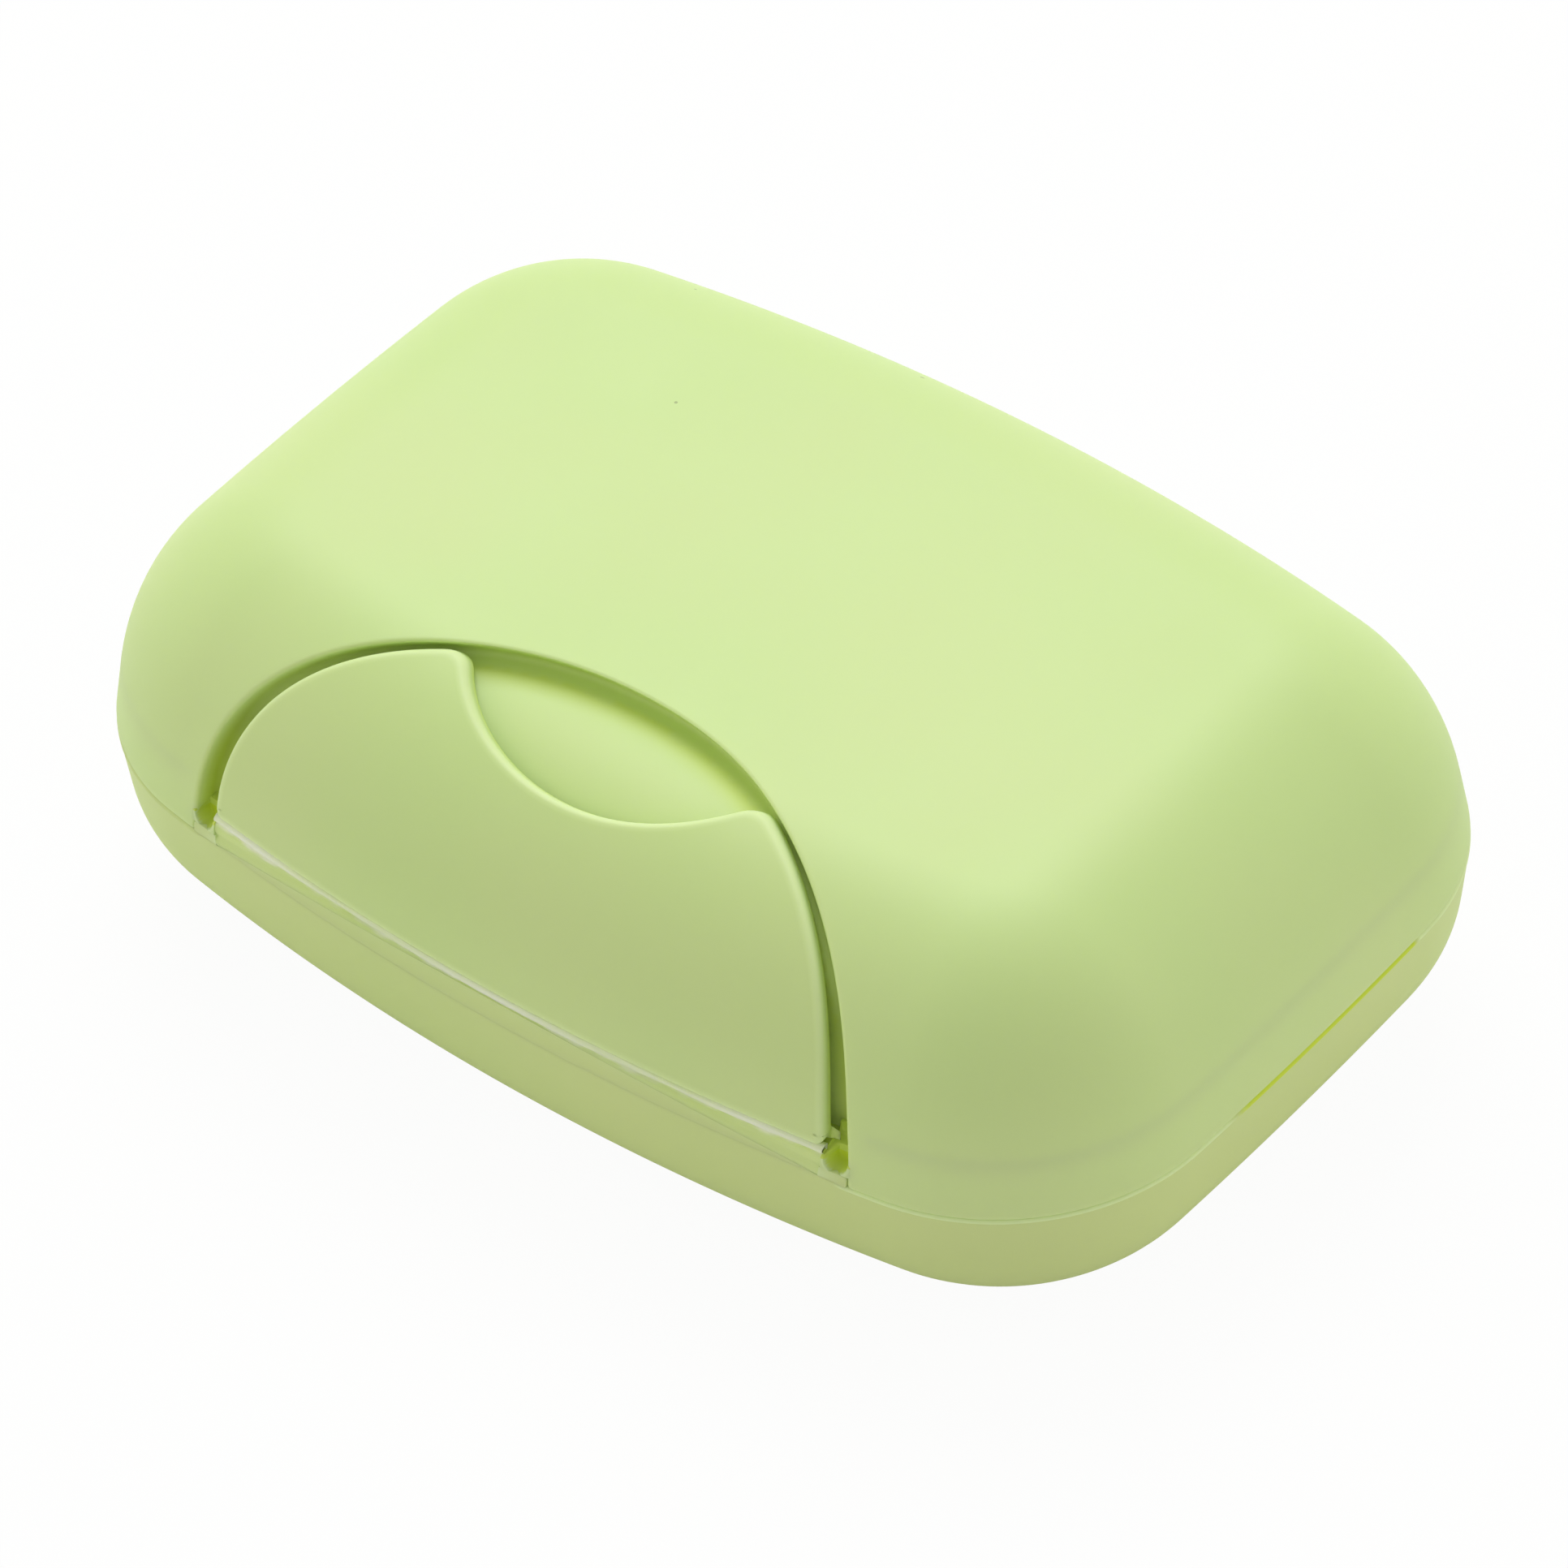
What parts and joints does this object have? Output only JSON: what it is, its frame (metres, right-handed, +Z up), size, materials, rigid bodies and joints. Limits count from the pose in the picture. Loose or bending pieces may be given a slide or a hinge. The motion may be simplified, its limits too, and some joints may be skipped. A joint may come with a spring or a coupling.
{
  "type": "travel soap box",
  "caption": "Rounded travel soap box with a deeper lid, a front latch flap on a living hinge, a lift-out drain tray and a sealing ring.",
  "frame": {"origin": "centre of the box's flat underside, not counting the rear hinge pads", "axes": "+X along the box's length, the latch flap faces -Y, the rear hinge is at +Y, +Z up from the table"},
  "size_m": [0.115, 0.0812, 0.0386],
  "materials": {
    "base_pp": "satin moulded polypropylene, slightly translucent",
    "lid_pp": "satin moulded polypropylene, slightly translucent",
    "latch_pp": "satin moulded polypropylene, slightly translucent",
    "web_pp": "thin flexed polypropylene, paler where it folds",
    "tray_pp": "satin moulded polypropylene",
    "ring_rubber": "smooth silicone rubber"
  },
  "bodies": {
    "base": {"base_shell": "base_pp", "latch_hinge_web": "web_pp", "rear_hinge_web": "web_pp"},
    "lid": {"lid_shell": "lid_pp", "sealing_ring": "ring_rubber"},
    "latch": {"latch_flap": "latch_pp"},
    "tray": {"drain_tray": "tray_pp"}
  },
  "joints": [
    {"name": "lid_open", "type": "hinge", "parent": "base", "child": "lid", "pos_m": [0, 0.0412, 0.0173], "axis": [-1, 0, 0], "range_deg": [0, 64], "deforming": ["rear_hinge_web"]},
    {"name": "latch_open", "type": "hinge", "parent": "base", "child": "latch", "pos_m": [0, -0.0395, 0.02025], "axis": [1, 0, 0], "range_deg": [0, 167], "deforming": ["latch_hinge_web"]},
    {"name": "tray_lift", "type": "slide", "parent": "base", "child": "tray", "axis": [0, 0, 1], "range_m": [0, 0.018]}
  ],
  "couplings": [
    {"joint": "latch_open", "follows": "lid_open", "ratio": 2.6}
  ]
}
